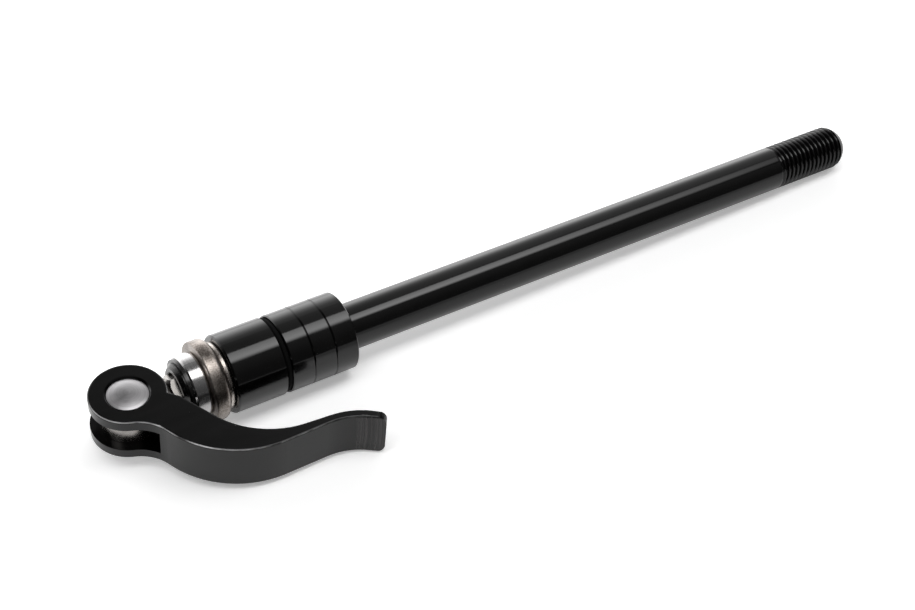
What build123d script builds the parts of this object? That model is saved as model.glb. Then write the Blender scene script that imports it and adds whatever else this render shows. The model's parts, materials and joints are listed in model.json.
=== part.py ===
from build123d import *
import os
from math import asin, atan2, cos, degrees, hypot, radians, sin, sqrt

# A bicycle thru axle with a folding lever, in millimetres.
# The axle lies along X with its thread at +X. The origin is on the axis at the seat face, where the
# spacers meet the frame. The lever is on the -Y side and +Z is up.

# Shaft: hollow, ground to the hub's bore, with a journal under the spacers and a spigot in the head
shaft_diameter = 12.0
shaft_length = 162.2
shaft_bore = 6.0
shaft_taper_length = 3.0
shaft_taper_depth = 1.7
journal_step = 0.2
spigot_diameter = 11.0

# Rings on the shaft, from the seat face towards the lever
head_diameter = 20.0
spacer_count = 3
spacer_width = 6.0
spacer_bevel = 0.25
friction_ring_width = 1.25
friction_ring_depth = 0.4
friction_ring_round = 0.5
sleeve_width = 13.5
sleeve_bevel = 0.4
sleeve_flange = 2.75
thin_washer_width = 1.55
thin_washer_wall = 1.75
thin_washer_round = 0.6
wide_washer_width = 4.1
wide_washer_wall = 3.4
wide_washer_round = 0.4
polished_width = 4.1
polished_wall = 1.25
polished_bevel = 0.4
polished_round = 0.8
snap_ring_width = 0.8
snap_ring_wall = 0.75
snap_ring_groove = 0.5
snap_ring_gap = 2.0

# Collar: the hex socket that the lever's drive bar sits in
hex_across_flats = 8.0
collar_wall = 2.23
flange_lap = 0.5
collar_overhang = 2.1
collar_bevel = 1.0
socket_depth = 5.8
mouth_bevel = 0.2
collar_floor = 2.5

# Drive bar, with the screw and spring that hold it in the socket
drive_travel = 5.0
hex_end_gap = 0.5
hex_bevel = 1.0
eye_wall = 2.05
eye_thickness = 6.7
screw_diameter = 4.0
screw_grip = 5.5
screw_head_diameter = 7.2
screw_head_height = 3.6
screw_key = 3.0
screw_key_depth = 2.0
spring_wire = 0.7
spring_turns = 6
spring_length = 15.1
spring_room = 0.6

# Lever: forked at the pin, then a tapering arm that bends back beside the axle. The arm's reaches are from
# the pin's axis towards the thread, and the drops of its elbow, kick and tip are from the ear's edge.
pin_diameter = 9.86
pin_recess = 0.2
pin_crown = 0.6
pin_hole_bevel = 0.5
ear_wall = 4.37
ear_gap = 2.7
lever_height = 12.4
lever_sag = 0.5
slot_room = 5.5
slot_turn = -66.0
root_inset = 1.45
root_drop = 3.7
root_round = 10.0
elbow_reach = 9.9
elbow_drop = 21.0
elbow_round = 24.0
kick_reach = 42.2
kick_drop = 20.4
kick_round = 16.0
tip_reach = 49.7
tip_drop = 25.5
tip_thickness = 2.0
tip_corner = 2.5
shoulder_out = 1.2
shoulder_drop = 2.2
shoulder_round = 4.0
inner_elbow_reach = 20.4
inner_elbow_drop = 16.9
inner_elbow_round = 21.0
inner_kick_reach = 44.2
inner_kick_drop = 18.7
inner_kick_round = 18.0
lever_edge_round = 0.5

# Clearances
slip_fit = 0.05
press_fit = 0.02
hex_clearance = 0.1
slot_clearance = 0.1
screw_clearance = 0.2
ear_clearance = 0.6

# Places along the axle
spacers_left = -spacer_count * spacer_width
sleeve_right = spacers_left - friction_ring_width
sleeve_left = sleeve_right - sleeve_width
thin_washer_left = sleeve_left - thin_washer_width
wide_washer_left = thin_washer_left - wide_washer_width
polished_left = wide_washer_left - polished_width
collar_left = polished_left - collar_overhang
collar_right = sleeve_right - sleeve_flange
socket_floor = collar_left + socket_depth
spigot_left = socket_floor + collar_floor
hex_right = socket_floor - hex_end_gap
spring_right = spigot_left + spring_length + 2 * slip_fit

# Radii and places that follow from the sizes above
shaft_radius = shaft_diameter / 2
journal_radius = shaft_radius + journal_step
head_radius = head_diameter / 2
hex_corner = hex_across_flats / sqrt(3)
collar_radius = max(hex_corner + collar_wall, journal_radius + slip_fit + flange_lap)
collar_seat = collar_radius + slip_fit
screw_radius = screw_diameter / 2
spring_radius = screw_radius + screw_clearance + spring_wire
spring_bore = max(screw_head_diameter / 2, spring_radius + spring_wire / 2) + spring_room
pin_radius = pin_diameter / 2
eye_radius = pin_radius + eye_wall
ear_radius = pin_radius + ear_wall
pivot_x = collar_left - ear_gap - ear_radius
hex_left = pivot_x + ear_radius + ear_clearance
slot_height = eye_thickness + 2 * slot_clearance
slot_depth = eye_radius + slot_room

# The lever's plane lies a little below the axis, where the loose drive bar lets it sag, and droops about
# the axle until the tip's lower edge is level with the head's underside
tip_out = ear_radius + tip_drop
tip_under = lever_height / 2 + lever_sag
droop = degrees(asin(head_radius / hypot(tip_out, tip_under)) - atan2(tip_under, tip_out))
lever_normal = (0, -sin(radians(droop)), cos(radians(droop)))
lever_plane = Plane(origin=(pivot_x, 0, 0), x_dir=(1, 0, 0), z_dir=lever_normal).offset(-lever_sag)
pin_axis = Axis((pivot_x, 0, 0), lever_normal)


def across(x):
    """Plane across the axle at x, facing the thread, with its own X along the pin's axis."""
    return Plane(origin=(x, 0, 0), x_dir=lever_normal, z_dir=(1, 0, 0))


def turned_ring(left, right, bore_radius, outer_radius):
    """Plain ring round the axle, before its edges are broken."""
    with BuildPart() as ring:
        with BuildSketch(across(left)):
            Circle(outer_radius)
            Circle(bore_radius, mode=Mode.SUBTRACT)
        extrude(amount=right - left)
    return ring


def rim_edges(ring, outer_radius):
    """The circular edges on a ring's outside."""
    circles = ring.edges().filter_by(GeomType.CIRCLE)
    return circles.filter_by(lambda edge: abs(edge.radius - outer_radius) < press_fit)


def below_ear(reach, drop):
    """Point in the lever's plane, at a reach from the pin's axis and a drop from the ear's edge."""
    return (reach, -ear_radius - drop)


def save(piece, node):
    piece.part.label = node
    export_step(piece.part, f"parts/{node}.step")


os.makedirs("parts", exist_ok=True)

# Shaft: spigot, journal, ground shank and tapered thread end, bored through and counterbored for the spring
spring_bore_end = spring_right + screw_head_height + drive_travel
with BuildPart() as axle_shaft:
    with BuildSketch(Plane.XY):
        with BuildLine():
            Polyline(
                (spigot_left, spring_bore),
                (spigot_left, spigot_diameter / 2),
                (collar_right, spigot_diameter / 2),
                (collar_right, journal_radius),
                (0, journal_radius),
                (0, shaft_radius),
                (shaft_length - shaft_taper_length, shaft_radius),
                (shaft_length, shaft_radius - shaft_taper_depth),
                (shaft_length, shaft_bore / 2),
                (spring_bore_end, shaft_bore / 2),
                (spring_bore_end, spring_bore),
                close=True,
            )
        make_face()
    revolve(axis=Axis.X)
save(axle_shaft, "axle_shaft")

# Spacer rings: loose on the journal, face to face
for index in range(spacer_count):
    ring_right = -index * spacer_width
    spacer = turned_ring(ring_right - spacer_width, ring_right, journal_radius + slip_fit, head_radius)
    with spacer:
        chamfer(rim_edges(spacer, head_radius), spacer_bevel)
    save(spacer, f"spacer_ring_{index + 1}")

# Friction ring: rubber, just below the rims on both sides of it
friction_radius = head_radius - friction_ring_depth
friction_ring = turned_ring(sleeve_right, spacers_left, journal_radius + slip_fit, friction_radius)
with friction_ring:
    fillet(rim_edges(friction_ring, friction_radius), friction_ring_round)
save(friction_ring, "friction_ring")

# Head sleeve: flanged on the journal, counterbored over the collar
with BuildPart() as head_sleeve:
    with BuildSketch(across(sleeve_left)):
        Circle(head_radius)
    extrude(amount=sleeve_width)
    with BuildSketch(across(sleeve_left)):
        Circle(collar_seat)
    extrude(amount=sleeve_width - sleeve_flange, mode=Mode.SUBTRACT)
    with BuildSketch(across(sleeve_left)):
        Circle(journal_radius + slip_fit)
    extrude(amount=sleeve_width, mode=Mode.SUBTRACT)
    chamfer(rim_edges(head_sleeve, head_radius), sleeve_bevel)
save(head_sleeve, "head_sleeve")

# Washers between the sleeve and the polished ring, with turned round edges
thin_washer_radius = collar_radius + thin_washer_wall
thin_washer = turned_ring(thin_washer_left, sleeve_left, collar_seat, thin_washer_radius)
with thin_washer:
    fillet(rim_edges(thin_washer, thin_washer_radius), thin_washer_round)
save(thin_washer, "thin_washer")

wide_washer_radius = collar_radius + wide_washer_wall
wide_washer = turned_ring(wide_washer_left, thin_washer_left, collar_seat, wide_washer_radius)
with wide_washer:
    fillet(rim_edges(wide_washer, wide_washer_radius), wide_washer_round)
save(wide_washer, "wide_washer")

# Polished ring, pressed on the collar against the washers
polished_radius = collar_radius + polished_wall
polished_sleeve = turned_ring(polished_left, wide_washer_left, collar_radius + press_fit, polished_radius)
with polished_sleeve:
    chamfer(rim_edges(polished_sleeve, polished_radius).sort_by(Axis.X)[0], polished_bevel)
    fillet(rim_edges(polished_sleeve, polished_radius).sort_by(Axis.X)[-1], polished_round)
save(polished_sleeve, "polished_sleeve")

# Snap ring: split spring ring in the collar's groove, with its gap at the back
snap_ring_left = polished_left - snap_ring_width
groove_radius = collar_radius - snap_ring_groove
with BuildPart() as snap_ring:
    with BuildSketch(across(snap_ring_left)):
        Circle(collar_radius + snap_ring_wall)
        Circle(groove_radius, mode=Mode.SUBTRACT)
        with Locations((0, collar_radius)):
            Rectangle(snap_ring_gap, collar_radius, mode=Mode.SUBTRACT)
    extrude(amount=snap_ring_width)
save(snap_ring, "snap_ring")

# Socket collar: hex socket with a countersunk mouth, a floor bored for the screw, a bore for the spigot
socket_corner = hex_corner + 2 * hex_clearance / sqrt(3)
mouth_radius = socket_corner + mouth_bevel
with BuildPart() as socket_collar:
    with BuildSketch(across(collar_left)):
        Circle(collar_radius)
    extrude(amount=collar_right - collar_left)
    with BuildSketch(across(collar_left)):
        RegularPolygon(socket_corner, 6)
    extrude(amount=socket_depth, mode=Mode.SUBTRACT)
    with BuildSketch(across(collar_left)):
        Circle(screw_radius + screw_clearance)
    extrude(amount=socket_depth + collar_floor, mode=Mode.SUBTRACT)
    with BuildSketch(across(spigot_left)):
        Circle(spigot_diameter / 2 + press_fit)
    extrude(amount=collar_right - spigot_left, mode=Mode.SUBTRACT)
    with BuildSketch(Plane.XY):
        with BuildLine():
            Polyline(
                (collar_left, 0),
                (collar_left, mouth_radius),
                (collar_left + mouth_radius, 0),
                close=True,
            )
        make_face()
    revolve(axis=Axis.X, mode=Mode.SUBTRACT)
    chamfer(rim_edges(socket_collar, collar_radius).sort_by(Axis.X)[0], collar_bevel)
    with BuildSketch(across(snap_ring_left)):
        Circle(collar_radius)
        Circle(groove_radius, mode=Mode.SUBTRACT)
    extrude(amount=snap_ring_width, mode=Mode.SUBTRACT)
save(socket_collar, "socket_collar")

# Drive bar: hex shank, flattened neck and eye from one bar, tapped for the screw
with BuildPart() as drive_bar:
    with BuildSketch(across(hex_left)):
        RegularPolygon(hex_corner, 6)
    extrude(amount=hex_right - hex_left)
    with BuildSketch(Plane.XY):
        with BuildLine():
            Polyline(
                (hex_left, 0),
                (hex_left, hex_corner - hex_bevel),
                (hex_left + hex_bevel, hex_corner),
                (hex_right - hex_bevel, hex_corner),
                (hex_right, hex_corner - hex_bevel),
                (hex_right, 0),
                close=True,
            )
        make_face()
    revolve(axis=Axis.X, mode=Mode.INTERSECT)
    with BuildSketch(lever_plane.offset(-eye_thickness / 2)):
        Circle(eye_radius)
        with Locations(((hex_left - pivot_x) / 2, 0)):
            Rectangle(hex_left - pivot_x, hex_across_flats)
    extrude(amount=eye_thickness)
    with BuildSketch(lever_plane.offset(-eye_thickness / 2)):
        Circle(pin_radius + slip_fit)
    extrude(amount=eye_thickness, mode=Mode.SUBTRACT)
    with BuildSketch(across(hex_right)):
        Circle(screw_radius + press_fit)
    extrude(amount=-screw_grip, mode=Mode.SUBTRACT)
save(drive_bar, "drive_bar")

# Retaining screw: its head rides in the shaft's counterbore and its end is fixed in the drive bar
with BuildPart() as retaining_screw:
    with BuildSketch(across(hex_right - screw_grip + hex_end_gap)):
        Circle(screw_radius)
    extrude(amount=spring_right - hex_right + screw_grip - hex_end_gap)
    with BuildSketch(across(spring_right)):
        Circle(screw_head_diameter / 2)
    extrude(amount=screw_head_height)
    with BuildSketch(across(spring_right + screw_head_height)):
        RegularPolygon(screw_key / sqrt(3), 6)
    extrude(amount=-screw_key_depth, mode=Mode.SUBTRACT)
save(retaining_screw, "retaining_screw")

# Return spring: wound round the screw between the collar's floor and the screw's head
coil_start = spigot_left + slip_fit + spring_wire / 2
coil_height = spring_length - spring_wire
with BuildPart() as return_spring:
    with BuildLine() as coil:
        Helix(
            pitch=coil_height / spring_turns,
            height=coil_height,
            radius=spring_radius,
            center=(coil_start, 0, 0),
            direction=(1, 0, 0),
        )
    with BuildSketch(Plane(coil.line @ 0, z_dir=coil.line % 0)):
        Circle(spring_wire / 2)
    sweep(is_frenet=True)
save(return_spring, "return_spring")

# Pivot pin: straight, with ends turned to a low dome whose rim is just inside the ears
pin_rim = lever_height / 2 - pin_recess
pin_top = pin_rim + pin_crown
pin_section = Plane(lever_plane.origin, x_dir=(1, 0, 0), z_dir=(0, -lever_normal[2], lever_normal[1]))
with BuildPart() as pivot_pin:
    with BuildSketch(pin_section):
        with BuildLine():
            Line((0, -pin_top), (0, pin_top))
            TangentArc((0, pin_top), (pin_radius, pin_rim), tangent=(1, 0))
            Line((pin_radius, pin_rim), (pin_radius, -pin_rim))
            TangentArc((0, -pin_top), (pin_radius, -pin_rim), tangent=(1, 0))
        make_face()
    revolve(axis=pin_axis)
save(pivot_pin, "pivot_pin")

# Lever: outline cut from bar, slotted for the eye, cross bored for the pin, edges rounded
tip = below_ear(tip_reach, tip_drop)
tip_angle = atan2(kick_drop - tip_drop, tip_reach - kick_reach)
tip_inner = (tip[0] - tip_thickness * sin(tip_angle), tip[1] + tip_thickness * cos(tip_angle))
tip_along = lever_plane.x_dir * cos(tip_angle) + lever_plane.y_dir * sin(tip_angle)
tip_plane = Plane(
    origin=lever_plane.from_local_coords(Vector(*tip)),
    x_dir=tip_along,
    z_dir=tip_along.cross(lever_plane.z_dir),
)
lever_span = 2 * hypot(*tip)
arm_root_outer = (-root_inset, -root_drop)
arm_root_inner = (pin_radius, 0)
shoulder = (ear_radius + shoulder_out, -hex_across_flats / 2 - shoulder_drop)
with BuildPart() as lever:
    with BuildSketch(lever_plane.offset(-lever_height / 2)) as outline:
        Circle(ear_radius)
        with BuildLine():
            FilletPolyline(
                arm_root_outer,
                below_ear(elbow_reach, elbow_drop),
                below_ear(kick_reach, kick_drop),
                tip,
                radius=[elbow_round, kick_round],
            )
            Line(tip, tip_inner)
            FilletPolyline(
                tip_inner,
                below_ear(inner_kick_reach, inner_kick_drop),
                below_ear(inner_elbow_reach, inner_elbow_drop),
                shoulder,
                arm_root_inner,
                radius=[inner_kick_round, inner_elbow_round, shoulder_round],
            )
            Line(arm_root_inner, arm_root_outer)
        make_face()
        fillet(outline.vertices().sort_by_distance((0, -ear_radius))[0], root_round)
    extrude(amount=lever_height)
    side_faces = lever.faces().filter_by(GeomType.PLANE).filter_by(Axis((0, 0, 0), lever_normal))
    fillet(side_faces.edges(), lever_edge_round)
    with BuildSketch(tip_plane):
        with Locations((-lever_span / 2, 0)):
            RectangleRounded(lever_span, lever_height, tip_corner)
    extrude(amount=lever_span, both=True, mode=Mode.INTERSECT)
    with BuildSketch(lever_plane.offset(-slot_height / 2)):
        with Locations(Location((0, 0), slot_turn)):
            with Locations((slot_depth / 2 - ear_radius, 0)):
                Rectangle(slot_depth + 2 * ear_radius, lever_span)
    extrude(amount=slot_height, mode=Mode.SUBTRACT)
    with BuildSketch(lever_plane.offset(-lever_height / 2)):
        Circle(pin_radius + press_fit)
    extrude(amount=lever_height, mode=Mode.SUBTRACT)
    pin_hole_rims = rim_edges(lever, pin_radius + press_fit).sort_by(pin_axis)
    chamfer([pin_hole_rims[0], pin_hole_rims[-1]], pin_hole_bevel)
save(lever, "lever")
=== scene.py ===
import json
import math

import bpy
from mathutils import Matrix, Vector


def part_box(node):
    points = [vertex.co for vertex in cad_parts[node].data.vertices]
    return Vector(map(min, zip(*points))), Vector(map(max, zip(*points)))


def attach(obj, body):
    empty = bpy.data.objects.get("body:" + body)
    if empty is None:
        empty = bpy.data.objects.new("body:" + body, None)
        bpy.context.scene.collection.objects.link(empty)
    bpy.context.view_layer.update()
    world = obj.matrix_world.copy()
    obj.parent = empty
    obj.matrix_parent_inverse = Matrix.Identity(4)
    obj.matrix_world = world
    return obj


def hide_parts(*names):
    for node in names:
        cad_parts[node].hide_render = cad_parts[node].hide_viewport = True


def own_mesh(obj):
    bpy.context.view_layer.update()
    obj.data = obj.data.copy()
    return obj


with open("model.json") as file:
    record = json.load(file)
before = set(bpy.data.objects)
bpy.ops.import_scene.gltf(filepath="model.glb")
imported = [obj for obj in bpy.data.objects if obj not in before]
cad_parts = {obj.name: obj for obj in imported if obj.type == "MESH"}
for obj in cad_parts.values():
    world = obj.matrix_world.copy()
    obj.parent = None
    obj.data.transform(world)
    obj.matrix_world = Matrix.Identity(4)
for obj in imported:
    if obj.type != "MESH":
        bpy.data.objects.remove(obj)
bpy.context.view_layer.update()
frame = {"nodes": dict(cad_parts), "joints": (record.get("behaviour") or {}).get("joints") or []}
nodes = frame["nodes"]


# Axle shaft: a drawn aluminium tube, turned to size, with an M12 x 1.5 thread rolled on its far end.
# It is black anodised after turning, and the coat is thin, even and glossy.
mm = 0.001
shaft_low, shaft_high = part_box("axle_shaft")
shaft_left, shaft_right = shaft_low.x, shaft_high.x
journal_radius = shaft_high.z
shaft_radius = 6.0 * mm
spigot_radius = 5.5 * mm
spigot_right = -22.0 * mm
bore_radius = 3.0 * mm
bore_bevel = 0.3 * mm
spring_bore_radius = 4.2 * mm
spring_bore_right = -12.5 * mm
thread_left = 138.4 * mm
thread_pitch = 1.5 * mm
thread_depth = 0.92 * mm
thread_run_out = 1.2 * mm
crest_share = 0.1
flank_share = 0.72
flank_straightness = 0.3
taper_length = 3.0 * mm
taper_depth = 1.7 * mm
nose_bulge = 1.6
seam_width = 0.6 * mm
merge_distance = 0.002 * mm
cut_tolerance = 1e-8
smooth_angle = math.radians(35)
turn_segments = 128
pitch_steps = 16


def deselect_all():
    """Leave edit mode if it is on, and select nothing."""
    if bpy.context.object and bpy.context.object.mode != "OBJECT":
        bpy.ops.object.mode_set(mode="OBJECT")
    bpy.ops.object.select_all(action="DESELECT")


def select_vertices(piece, wanted):
    """In edit mode, leave only the vertices selected whose place passes the test."""
    bpy.ops.mesh.select_mode(type="VERT")
    bpy.ops.mesh.select_all(action="DESELECT")
    bpy.ops.object.mode_set(mode="OBJECT")
    for vertex in piece.data.vertices:
        vertex.select = wanted(vertex.co)
    bpy.ops.object.mode_set(mode="EDIT")


def circle_across(x, radius, fill="NOTHING"):
    """A new circle across the axle at x, left in edit mode with all of it selected."""
    deselect_all()
    bpy.ops.mesh.primitive_circle_add(
        vertices=turn_segments, radius=radius, location=(x, 0, 0), rotation=(0, math.pi / 2, 0), fill_type=fill
    )
    bpy.ops.object.transform_apply(location=True, rotation=True, scale=True)
    bpy.ops.object.mode_set(mode="EDIT")
    bpy.ops.mesh.select_all(action="SELECT")
    return bpy.context.object


def turn_on(stations):
    """In edit mode, carry the selected loop round the axle on through (x, radius) stations."""
    for (x0, r0), (x1, r1) in zip(stations, stations[1:]):
        bpy.ops.mesh.extrude_region_move(TRANSFORM_OT_translate={"value": (x1 - x0, 0, 0)})
        bpy.ops.transform.resize(value=(1, r1 / r0, r1 / r0), center_override=(x1, 0, 0))


def finish_mesh():
    """From edit mode, merge what meets, turn the faces outwards and shade all but the sharp edges smooth."""
    bpy.ops.mesh.select_all(action="SELECT")
    bpy.ops.mesh.remove_doubles(threshold=merge_distance)
    bpy.ops.mesh.normals_make_consistent(inside=False)
    bpy.ops.object.mode_set(mode="OBJECT")
    bpy.ops.object.shade_smooth_by_angle(angle=smooth_angle)


def thread_groove(phase):
    """Share of the thread's depth at a share of its pitch: narrow crest, steep flanks, round root."""
    from_crest = 1 - abs(phase - 0.5) * 2
    flank = min(max((from_crest - crest_share) / flank_share, 0), 1)
    return flank_straightness * flank + (1 - flank_straightness) * flank * flank * (3 - 2 * flank)


# The thread is a sheet laid in rows along the helix and rolled up, so each crest is one clean edge.
pitch_count = math.ceil((shaft_right - thread_left) / thread_pitch) + 2
deselect_all()
bpy.ops.mesh.primitive_grid_add(x_subdivisions=pitch_count * pitch_steps, y_subdivisions=turn_segments, size=1)
axle = bpy.context.object
axle.name = axle.data.name = "threaded_axle_shaft"
for vertex in axle.data.vertices:
    row = round((vertex.co.x + 0.5) * pitch_count * pitch_steps)
    turn_share = round((vertex.co.y + 0.5) * turn_segments) / turn_segments
    x = thread_left - thread_pitch + (row / pitch_steps + turn_share) * thread_pitch
    run_out = min(max((x - thread_left) / thread_run_out, 0), 1)
    radius = shaft_radius - thread_depth * thread_groove(row % pitch_steps / pitch_steps) * run_out
    along_nose = min(max((x - shaft_right) / taper_length + 1, 0), 1)
    radius = min(radius, shaft_radius - taper_depth * along_nose ** nose_bulge)
    angle = math.tau * turn_share
    vertex.co = (x, radius * math.sin(angle), radius * math.cos(angle))
bpy.ops.object.mode_set(mode="EDIT")
for cut_x, facing in ((thread_left, -1), (shaft_right, 1)):
    bpy.ops.mesh.select_all(action="SELECT")
    bpy.ops.mesh.remove_doubles(threshold=merge_distance)
    bpy.ops.mesh.bisect(
        plane_co=(cut_x, 0, 0), plane_no=(facing, 0, 0), clear_outer=True, threshold=cut_tolerance
    )
select_vertices(axle, lambda co: co.x > shaft_right - merge_distance)
turn_on([
    (shaft_right, shaft_radius - taper_depth),
    (shaft_right, bore_radius + bore_bevel),
    (shaft_right - bore_bevel, bore_radius),
    (thread_left, bore_radius),
])

# The plain length is turned from one circle, then joined to the thread outside and in the bore.
seam_left = thread_left - seam_width
shank = circle_across(seam_left, bore_radius)
turn_on([
    (seam_left, bore_radius),
    (spring_bore_right, bore_radius),
    (spring_bore_right, spring_bore_radius),
    (shaft_left, spring_bore_radius),
    (shaft_left, spigot_radius),
    (spigot_right, spigot_radius),
    (spigot_right, journal_radius),
    (0, journal_radius),
    (0, shaft_radius),
    (seam_left, shaft_radius),
])
deselect_all()
shank.select_set(True)
axle.select_set(True)
bpy.context.view_layer.objects.active = axle
bpy.ops.object.join()
bpy.ops.object.mode_set(mode="EDIT")
for seam_radius in (shaft_radius, bore_radius):
    select_vertices(axle, lambda co: (
        seam_left - merge_distance < co.x < thread_left + merge_distance
        and abs(math.hypot(co.y, co.z) - seam_radius) < seam_width
    ))
    bpy.ops.mesh.bridge_edge_loops()
finish_mesh()


def feed(node, inputs):
    """Set a node's inputs: an output socket is linked to one, and anything else is its value."""
    for name, value in inputs.items():
        if isinstance(value, bpy.types.NodeSocket):
            node.id_data.links.new(value, node.inputs[name])
        else:
            node.inputs[name].default_value = value


def node_maker(tree):
    """A maker of one tree's nodes, which gives back the wanted output of each."""
    def node(kind, inputs, output=0, **settings):
        made = tree.nodes.new("ShaderNode" + kind)
        for setting, value in settings.items():
            setattr(made, setting, value)
        feed(made, inputs)
        return made.outputs[output] if output is not None else made
    return node


def new_finish(name):
    """A new material, its shader, a maker of its nodes, and the place on the piece."""
    material = bpy.data.materials.new(name)
    material.use_nodes = True
    node = node_maker(material.node_tree)
    return material, material.node_tree.nodes["Principled BSDF"], node, node("TexCoord", {}, "Object")


def graded(node, value, start, end, low=0.0, high=1.0, **settings):
    """A number that goes from low to high while the value goes from start to end."""
    return node("MapRange", {
        "Value": value, "From Min": start, "From Max": end, "To Min": low, "To Max": high,
    }, **settings)


def mixed(node, share, first, second):
    """The colour that lies that share of the way from the first to the second."""
    return node("Mix", {"Factor": share, "A": first, "B": second}, "Result", data_type="RGBA")


def added(node, first, second, **settings):
    return node("Math", {0: first, 1: second}, operation="ADD", **settings)


def product(node, first, *others):
    for other in others:
        first = node("Math", {0: first, 1: other}, operation="MULTIPLY")
    return first


# Most of a noise's values lie between these two, so its whole swing is used.
noise_low, noise_high = 0.3, 0.7


def dust_specks(node, place, spacing, share, size):
    """Mask of a few tiny bright specks: the middles of some cells in a scattered pattern."""
    cells = node("TexVoronoi", {"Vector": place, "Scale": 1 / spacing, "Randomness": 1.0}, "Distance")
    near = graded(node, cells, size * 0.6, size, 1.0, 0.0)
    pick = node("SeparateColor", {"Color": cells.node.outputs["Color"]}, "Red")
    chosen = node("Math", {0: pick, 1: 1 - share}, operation="GREATER_THAN")
    return product(node, near, chosen)


def black_anodised(name, tones, roughness, reflectance, dust_share, thread_dulling=None):
    """Black coat on aluminium: cloudy near-black, gloss that varies in smears, and a little dust."""
    material, shader, node, place = new_finish(name)
    cloud = node("TexNoise", {"Vector": place, "Scale": 190.0, "Detail": 4.0})
    coat = graded(node, cloud, noise_low, noise_high, *tones)
    along = node("Mapping", {"Vector": place, "Scale": (40, 420, 420)})
    smears = node("TexNoise", {"Vector": along, "Scale": 1.0, "Detail": 5.0, "Roughness": 0.6})
    polish = graded(node, smears, noise_low, noise_high, *roughness)
    if thread_dulling:
        along_axle = node("SeparateXYZ", {"Vector": place}, "X")
        threaded = graded(node, along_axle, thread_left, thread_left + thread_run_out, 0.0, thread_dulling)
        polish = added(node, polish, threaded)
    specks = dust_specks(node, place, spacing=1.6 * mm, share=dust_share, size=0.05)
    colour = mixed(node, specks, coat, (0.2, 0.2, 0.2, 1))
    grain = node("TexNoise", {"Vector": place, "Scale": 5200.0, "Detail": 2.0})
    relief = node("Bump", {"Height": grain, "Strength": 0.02, "Distance": 0.02 * mm})
    feed(shader, {
        "Base Color": colour, "Roughness": polish, "Normal": relief, "Specular IOR Level": reflectance,
    })
    return material


axle.data.materials.append(black_anodised(
    "axle black", tones=(0.0008, 0.0022), roughness=(0.08, 0.14), reflectance=0.56, dust_share=0.03, thread_dulling=0.05
))
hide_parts("axle_shaft")
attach(axle, "axle")


# Spacer rings: three equal rings turned from aluminium bar and black anodised like the shaft.
# They slide loose on the journal and meet face to face, so their bevels leave fine dark joints.
anodised_black = black_anodised(
    "anodised black", tones=(0.0008, 0.0022), roughness=(0.08, 0.14), reflectance=0.56, dust_share=0.03
)
for index in (1, 2, 3):
    nodes[f"spacer_ring_{index}"].data.materials[0] = anodised_black


# Friction ring: moulded black rubber, squeezed between the spacers and the head sleeve.
# It stays a little below the rims on both sides and has a dull, pebbled skin.
rubber, shader, node, place = new_finish("black rubber")
pebbles = node("TexNoise", {"Vector": place, "Scale": 5200.0, "Detail": 3.0})
skin = graded(node, pebbles, noise_low, noise_high, 0.001, 0.004)
relief = node("Bump", {"Height": pebbles, "Strength": 0.25, "Distance": 0.03 * mm})
feed(shader, {"Base Color": skin, "Normal": relief, "Roughness": 0.85, "Specular IOR Level": 0.12})
nodes["friction_ring"].data.materials[0] = rubber


# Head sleeve: an aluminium sleeve, turned and black anodised, that covers the collar's inner end.
# Its rims are broken by small bevels.
nodes["head_sleeve"].data.materials[0] = anodised_black


# Washers: a thin one in bright nickel plate and a wide one with a dull, slightly warm nickel plate.
# Both are steel with tumbled round edges and turn freely on the collar.
def plated_steel(name, dark, light, roughness, ring_scale, grain_scale, relief_depth):
    """Metal with fine ring marks about the axle and a grain in its colour and its gloss."""
    material, shader, node, place = new_finish(name)
    rings = node("Mapping", {"Vector": place, "Scale": (ring_scale, 150, 150)})
    marks = node("TexNoise", {"Vector": rings, "Scale": 1.0, "Detail": 4.0})
    grain = node("TexNoise", {"Vector": place, "Scale": grain_scale, "Detail": 5.0, "Roughness": 0.65})
    both = added(node, marks, grain)
    colour = mixed(node, graded(node, both, 0.82, 1.18), (*dark, 1), (*light, 1))
    polish = graded(node, grain, noise_low, noise_high, roughness * 0.85, roughness * 1.2)
    relief = node("Bump", {"Height": both, "Strength": 1.0, "Distance": relief_depth})
    feed(shader, {"Base Color": colour, "Roughness": polish, "Normal": relief, "Metallic": 1.0})
    return material


def turned(name, stations):
    """A ring of metal turned about the axle, from its (x, radius) stations in order round its section."""
    ring = circle_across(*stations[0])
    ring.name = ring.data.name = name
    turn_on([*stations, stations[0]])
    finish_mesh()
    return ring


def rounded(centre, radius, start, end, steps):
    """Stations of a round edge, from one angle to another in degrees, where 90 is straight out from the axle."""
    angles = [math.radians(start + (end - start) * step / steps) for step in range(steps + 1)]
    return [(centre[0] + radius * math.cos(angle), centre[1] + radius * math.sin(angle)) for angle in angles]


washer_low, washer_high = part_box("wide_washer")
washer_bore = 6.9 * mm
washer_radius = washer_high.z
left_round = 0.45 * mm
right_round = 1.6 * mm
wide_washer = turned("rounded_wide_washer", [
    (washer_low.x, washer_bore),
    *rounded((washer_low.x + left_round, washer_radius - left_round), left_round, 180, 90, steps=6),
    *rounded((washer_high.x - right_round, washer_radius - right_round), right_round, 90, 0, steps=12),
    (washer_high.x, washer_bore),
])
wide_washer.data.materials.append(plated_steel(
    "dull nickel", dark=(0.15, 0.128, 0.113), light=(0.47, 0.425, 0.39), roughness=0.32,
    ring_scale=300, grain_scale=3200.0, relief_depth=0.035 * mm,
))
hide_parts("wide_washer")
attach(wide_washer, "axle")
nodes["thin_washer"].data.materials[0] = plated_steel(
    "bright nickel", dark=(0.30, 0.27, 0.25), light=(0.66, 0.61, 0.565), roughness=0.27,
    ring_scale=900, grain_scale=3000.0, relief_depth=0.025 * mm,
)


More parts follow.
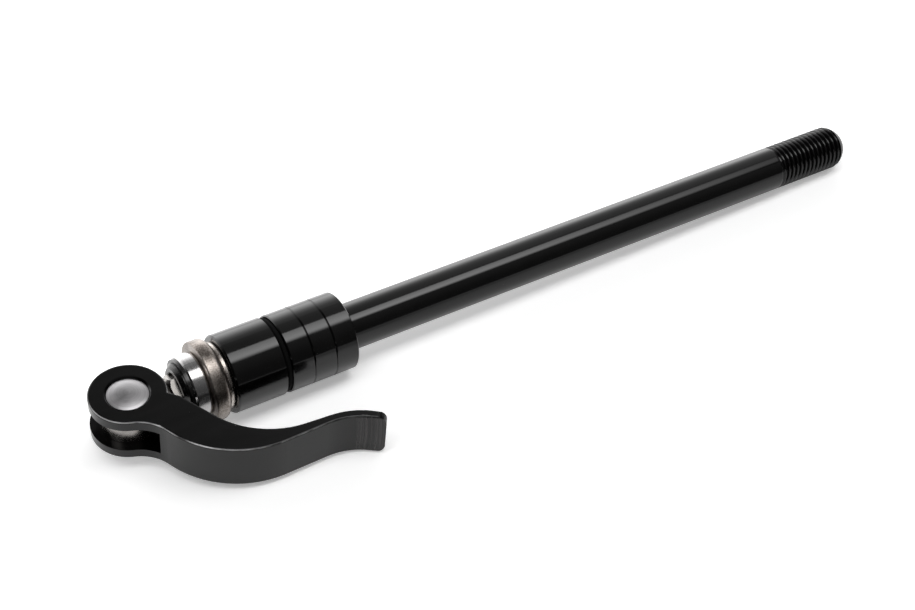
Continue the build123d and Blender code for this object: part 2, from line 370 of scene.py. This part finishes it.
# Polished ring: a short steel sleeve, ground and polished, pressed on the collar against the washers.
# Only faint grinding rings are left on it.
nodes["polished_sleeve"].data.materials[0] = plated_steel(
    "polished steel", dark=(0.52, 0.512, 0.51), light=(0.60, 0.592, 0.59), roughness=0.17,
    ring_scale=6000, grain_scale=1800.0, relief_depth=0.001 * mm,
)


# Snap ring and socket collar: the collar is blackened steel with a broached hex socket,
# and the split spring-steel ring in its groove keeps the stack of washers on it.
dark_steel = plated_steel(
    "blackened steel", dark=(0.035, 0.035, 0.035), light=(0.075, 0.074, 0.073), roughness=0.24,
    ring_scale=2000, grain_scale=1400.0, relief_depth=0.0006 * mm,
)
nodes["snap_ring"].data.materials[0] = dark_steel
nodes["socket_collar"].data.materials[0] = dark_steel


# Drive bar and its screw: a satin steel hex bar, flattened to an eye for the pin.
# The screw is fixed in its end, and its head slides in the hollow shaft.
satin_steel = plated_steel(
    "satin steel", dark=(0.29, 0.276, 0.262), light=(0.37, 0.352, 0.335), roughness=0.22,
    ring_scale=300, grain_scale=900.0, relief_depth=0.0005 * mm,
)
nodes["drive_bar"].data.materials[0] = satin_steel
nodes["retaining_screw"].data.materials[0] = dark_steel


# Return spring: drawn steel wire wound round the screw, between the collar's floor and the screw's head.
# It shortens by the bar's travel when the lever is pulled out, so its coil closes towards the floor.
joints = {joint["name"]: joint for joint in frame["joints"]}
spring_low, spring_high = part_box("return_spring")
spring_length = spring_high.x - spring_low.x
wire_radius = 0.35 * mm
coil_radius = 2.9 * mm
coil_turns, coil_steps, wire_steps = 6, 32, 12
deselect_all()
bpy.ops.mesh.primitive_grid_add(x_subdivisions=coil_turns * coil_steps, y_subdivisions=wire_steps, size=1)
spring = bpy.context.object
spring.name = spring.data.name = "coiled_return_spring"
for vertex in spring.data.vertices:
    along = vertex.co.x + 0.5
    coil_angle = math.tau * coil_turns * along
    wire_angle = math.tau * (vertex.co.y + 0.5)
    wire_x = spring_low.x + wire_radius + along * (spring_length - 2 * wire_radius)
    radius = coil_radius + wire_radius * math.cos(wire_angle)
    vertex.co = (
        wire_x + wire_radius * math.sin(wire_angle), radius * math.sin(coil_angle), radius * math.cos(coil_angle)
    )
bpy.ops.object.mode_set(mode="EDIT")
bpy.ops.mesh.select_all(action="SELECT")
bpy.ops.mesh.remove_doubles(threshold=merge_distance)
bpy.ops.mesh.fill_holes(sides=wire_steps)
finish_mesh()
spring.data.materials.append(satin_steel)
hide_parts("return_spring")
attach(spring, "axle")
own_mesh(spring)


# Pivot pin: turned steel, pressed into the lever's ears, with low domed ends.
# The lathe leaves faint rings about the pin's own axis, which leans with the lever.
hinge = joints["lever_hinge"]
lever_normal = Vector(hinge["axis"]).normalized()
lever_lean = math.atan2(-lever_normal.y, lever_normal.z)
pivot_x = hinge["pos_m"][0]
lever_sag = 0.5 * mm
pin_radius = 4.93 * mm
pin_top = 6.6 * mm
pin_crown = 0.82 * mm
pin_centre_flat = 0.3 * mm
dome_steps = 14
dome_radius = (pin_radius ** 2 + pin_crown ** 2) / (2 * pin_crown)
dome = []
for step in range(dome_steps + 1):
    radius = pin_centre_flat + (pin_radius - pin_centre_flat) * step / dome_steps
    dome.append((pin_top - dome_radius + math.sqrt(dome_radius ** 2 - radius ** 2), radius))
pin = circle_across(-dome[0][0], pin_centre_flat, fill="NGON")
pin.name = pin.data.name = "domed_pivot_pin"
turn_on([*((-x, radius) for x, radius in dome), *reversed(dome)])
finish_mesh()
pin.rotation_euler = Vector((1, 0, 0)).rotation_difference(lever_normal).to_euler()
pin.location = Vector((pivot_x, 0, 0)) - lever_normal * lever_sag
bpy.ops.object.transform_apply(location=True, rotation=True, scale=True)
pin_steel, shader, node, place = new_finish("turned steel")
on_pin = node("Mapping", {"Vector": place, "Location": (-pivot_x, 0, 0), "Rotation": (-lever_lean, 0, 0)})
flat = node("VectorMath", {0: on_pin, 1: (1, 1, 0)}, operation="MULTIPLY")
reach = node("VectorMath", {0: flat}, "Value", operation="LENGTH")
marks = node("TexNoise", {"Vector": node("CombineXYZ", {"X": reach}), "Scale": 2600.0, "Detail": 3.0})
cloud = node("TexNoise", {"Vector": place, "Scale": 260.0, "Detail": 4.0, "Roughness": 0.6})
share = graded(node, added(node, marks, cloud), 0.7, 1.3)
colour = mixed(node, share, (0.36, 0.352, 0.36, 1), (0.50, 0.49, 0.50, 1))
polish = graded(node, cloud, noise_low, noise_high, 0.28, 0.38)
relief = node("Bump", {"Height": marks, "Strength": 1.0, "Distance": 0.001 * mm})
feed(shader, {"Base Color": colour, "Roughness": polish, "Normal": relief, "Metallic": 1.0})
pin.data.materials.append(pin_steel)
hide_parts("pivot_pin")
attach(pin, "lever")


# Lever: aluminium bar cut to its outline, forked for the eye, its edges rounded, then black anodised.
# The coat is duller than the shaft's and cross-scored for grip at the tip. Along its outer edges
# that face the front, towards the pin, a light grey is painted in patches: a painted highlight of the edge rounds.
hole_rim_start, hole_rim_end = 8.4 * mm, 8.8 * mm
highlight_fade_start, highlight_fade_end, highlight_least = 26 * mm, 50 * mm, 0.15
scored_start, scored_full = 53.4 * mm, 54.6 * mm
score_depth = 0.12 * mm
lever_black = black_anodised(
    "lever black", tones=(0.0005, 0.0014), roughness=(0.12, 0.18), reflectance=0.4, dust_share=0.06
)
shader = lever_black.node_tree.nodes["Principled BSDF"]
coat, polish, coat_relief = (
    shader.inputs[name].links[0].from_socket for name in ("Base Color", "Roughness", "Normal")
)
node = node_maker(lever_black.node_tree)
place = node("TexCoord", {}, "Object")
way_out = node("TexCoord", {}, "Normal")
facing = node("VectorMath", {0: way_out, 1: lever_normal}, "Value", operation="DOT_PRODUCT")
facing = node("Math", {0: facing}, operation="ABSOLUTE")
from_pin = node("VectorMath", {0: place, 1: (pivot_x, 0, 0)}, "Value", operation="DISTANCE")
patches = node("TexNoise", {"Vector": place, "Scale": 130.0, "Detail": 3.0})
# Painted highlight: a light, slightly rougher grey on the rounded edges that face the front, strongest near the pin,
# fading along the arm and broken into patches.
painted_edge_highlight = product(
    node,
    graded(node, facing, 0.38, 0.55),
    graded(node, facing, 0.8, 0.92, 1.0, 0.0),
    graded(node, from_pin, hole_rim_start, hole_rim_end),
    graded(node, from_pin, highlight_fade_start, highlight_fade_end, 1.0, highlight_least),
    graded(node, node("SeparateXYZ", {"Vector": way_out}, "Y"), 0.1, -0.3, 0.15, 1.0),
    graded(node, patches, 0.4, 0.6, 0.1, 0.9),
)
colour = mixed(node, painted_edge_highlight, coat, (0.72, 0.72, 0.725, 1))
polish = added(node, polish, graded(node, painted_edge_highlight, 0.0, 1.0, 0.0, 0.15))
streaks = node("TexNoise", {"Vector": node("CombineXYZ", {"X": from_pin}), "Scale": 1100.0, "Detail": 2.0})
scored = product(node, graded(node, from_pin, scored_start, scored_full), graded(node, facing, 0.1, 0.3, 1.0, 0.0))
bare = product(node, graded(node, streaks, 0.42, 0.62), scored)
colour = mixed(node, bare, colour, (0.05, 0.047, 0.046, 1))
relief = node("Bump", {
    "Height": product(node, streaks, scored), "Strength": 1.0, "Distance": score_depth, "Normal": coat_relief,
})
feed(shader, {"Base Color": colour, "Roughness": polish, "Normal": relief})
nodes["lever"].data.materials[0] = lever_black


# Table: a large white sheet that the axle lies on, resting on the spacers' rim, the thread's end
# and the lever's tip. The camera sees it white, with the axle's shadow. To other rays it is white
# behind the axle and round the lever, and grey in front of the shaft: painted shade in the shaft's lower side.
# Behind the axle the white is a glow that camera and glossy rays see: a painted reflection along the axle's upper
# edges.
head_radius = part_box("spacer_ring_1")[1].z
rest_slope = (head_radius - shaft_radius) / (shaft_right - taper_length)
sheet_size = 8
sheet_white = 1.0
sheet_front, sheet_near = 0.28, 0.68
glow_front, glow_back, glow_near, glow_far = 0.22, 1.0, 0.12, 1.0
deselect_all()
bpy.ops.mesh.primitive_plane_add(
    size=sheet_size, location=(0, 0, -head_radius), rotation=(0, -math.atan(rest_slope), 0)
)
table = bpy.context.object
table.name = "table"
white_sheet = bpy.data.materials.new("white sheet")
white_sheet.use_nodes = True
node = node_maker(white_sheet.node_tree)
direct = node("LightPath", {}, "Is Camera Ray")
seen = added(node, direct, node("LightPath", {}, "Is Glossy Ray"))
seen = added(node, seen, node("LightPath", {}, "Is Transmission Ray"), use_clamp=True)
place = node("TexCoord", {}, "Object")
across_x = node("SeparateXYZ", {"Vector": place}, "X")
across_y = across_x.node.outputs["Y"]
# Painted shade: grey to all but camera rays in front of the shaft, so the shaft's lower side reflects it darker.
near = graded(node, across_y, -0.07, -0.012, sheet_front, sheet_near)
grey = graded(node, graded(node, across_x, -0.01, 0.03), 0.0, 1.0, sheet_white, near)
white = graded(node, direct, 0.0, 1.0, grey, sheet_white)
# Painted reflection: a glow behind the axle that only camera, glossy and transmission rays see.
back = graded(node, across_y, 0.0, 0.06, glow_front, glow_back)
from_axle = node("VectorMath", {0: place}, "Value", operation="LENGTH")
far = graded(node, from_axle, 0.2, 0.55, glow_near, glow_far)
glow = added(node, product(node, seen, back), product(node, direct, far))
sheet = node("AddShader", {0: node("BsdfDiffuse", {"Color": white}), 1: node("Emission", {"Strength": glow})})
feed(white_sheet.node_tree.nodes["Material Output"], {"Surface": sheet})
table.data.materials.append(white_sheet)


# Softbox: one long cloth panel above the axle, lit from inside, so it is brightest in its middle
# and fades at its front edge, towards its back and at its far end.
softbox_height = 0.9
softbox_left, softbox_right = -0.8, 0.93
softbox_front, softbox_back = -0.52, 0.035
softbox_radiance = 4.0
far_fade_start = 0.46
front_fade_end = -0.30
back_fade_start, back_share = -0.27, 0.62
deselect_all()
bpy.ops.mesh.primitive_plane_add(size=1, location=(
    (softbox_left + softbox_right) / 2, (softbox_front + softbox_back) / 2, softbox_height
))
softbox = bpy.context.object
softbox.name = "softbox"
softbox.scale = (softbox_right - softbox_left, softbox_back - softbox_front, 1)
bpy.ops.object.transform_apply(location=True, rotation=True, scale=True)
softbox.visible_camera = False
lit_cloth, shader, node, place = new_finish("lit cloth")
across_x = node("SeparateXYZ", {"Vector": place}, "X")
across_y = across_x.node.outputs["Y"]
shine = product(
    node,
    graded(node, across_x, far_fade_start, softbox_right, 1.0, 0.0),
    graded(node, across_y, softbox_front, front_fade_end, interpolation_type="SMOOTHSTEP"),
    graded(node, across_y, back_fade_start, softbox_back, 1.0, back_share),
    softbox_radiance,
)
feed(shader, {
    "Base Color": (0, 0, 0, 1), "Specular IOR Level": 0.0, "Emission Color": (1, 1, 1, 1), "Emission Strength": shine,
})
softbox.data.materials.append(lit_cloth)


# Room: what lights the axle and shows in it from round the table: a pale wall low down behind it, grey
# overhead, dark on the camera's side, and shaded at both ends. The tones go with the angle over the axle,
# from the wall behind it to the side in front. The camera itself sees plain white there.
room_strength = 2.6
room_tones = (
    (0, 2.4), (14, 2.5), (24, 1.9), (34, 1.1), (44, 0.58), (55, 0.31),
    (68, 0.22), (88, 0.2), (116, 0.18), (134, 0.14), (155, 0.08), (180, 0.06),
)
ceiling_start, ceiling_full, ceiling_fade, ceiling_end = (math.radians(over) for over in (32, 55, 76, 95))
ceiling_near, ceiling_far = -0.12, 0.24
lever_end_shade, thread_end_shade = 0.1, 0.15
world = bpy.data.worlds.new("studio")
bpy.context.scene.world = world
world.use_nodes = True
world.node_tree.nodes.clear()
node = node_maker(world.node_tree)
way_x = node("SeparateXYZ", {"Vector": node("TexCoord", {}, "Generated")}, "X")
way_y, way_z = way_x.node.outputs["Y"], way_x.node.outputs["Z"]
over = node("Math", {0: way_z, 1: way_y}, operation="ARCTAN2")
room = node("ValToRGB", {"Fac": graded(node, over, 0.0, math.pi)})
ramp = room.node.color_ramp.elements
while len(ramp) < len(room_tones):
    ramp.new(0.5)
for element, (degrees_over, radiance) in zip(ramp, room_tones):
    element.position = degrees_over / 180
for element, (degrees_over, radiance) in zip(ramp, room_tones):
    element.color = (radiance / room_strength,) * 3 + (1,)
ceiling = product(
    node,
    graded(node, over, ceiling_start, ceiling_full, interpolation_type="SMOOTHSTEP"),
    graded(node, over, ceiling_fade, ceiling_end, 1.0, 0.0),
    graded(node, way_x, 0.24, 0.44, ceiling_near, ceiling_far),
)
walls = product(
    node,
    added(node, product(node, room, room_strength), ceiling),
    product(
        node,
        graded(node, way_x, -0.82, -0.42, lever_end_shade, 1.0),
        graded(node, way_x, 0.68, 0.85, 1.0, thread_end_shade),
    ),
)
room_light = node("Background", {"Color": (1, 1, 1, 1), "Strength": walls})
white_wall = node("Background", {"Color": (1, 1, 1, 1), "Strength": 1.0})
surface = node("MixShader", {0: node("LightPath", {}, "Is Camera Ray"), 1: room_light, 2: white_wall})
node("OutputWorld", {"Surface": surface}, None)


# Camera: stands in front of the lever end, above the table, and looks down along the axle.
# Its place, turn and lens were fitted to the ring edges and outlines of the axle.
camera_place = Vector((-152.63, -284.03, 281.46)) * mm
camera_right = Vector((0.8479, -0.5293, 0.0296))
camera_up = Vector((0.3231, 0.5603, 0.7627))
deselect_all()
bpy.ops.object.camera_add()
camera = bpy.context.object
camera.data.lens = 67.52
camera.data.sensor_width = 36.0
camera.data.sensor_fit = "HORIZONTAL"
camera.data.clip_start = 0.01
turn = Matrix((camera_right, camera_up, camera_right.cross(camera_up))).transposed().to_4x4()
camera.matrix_world = Matrix.Translation(camera_place) @ turn
bpy.context.scene.camera = camera
bpy.context.scene.view_settings.view_transform = "Standard"
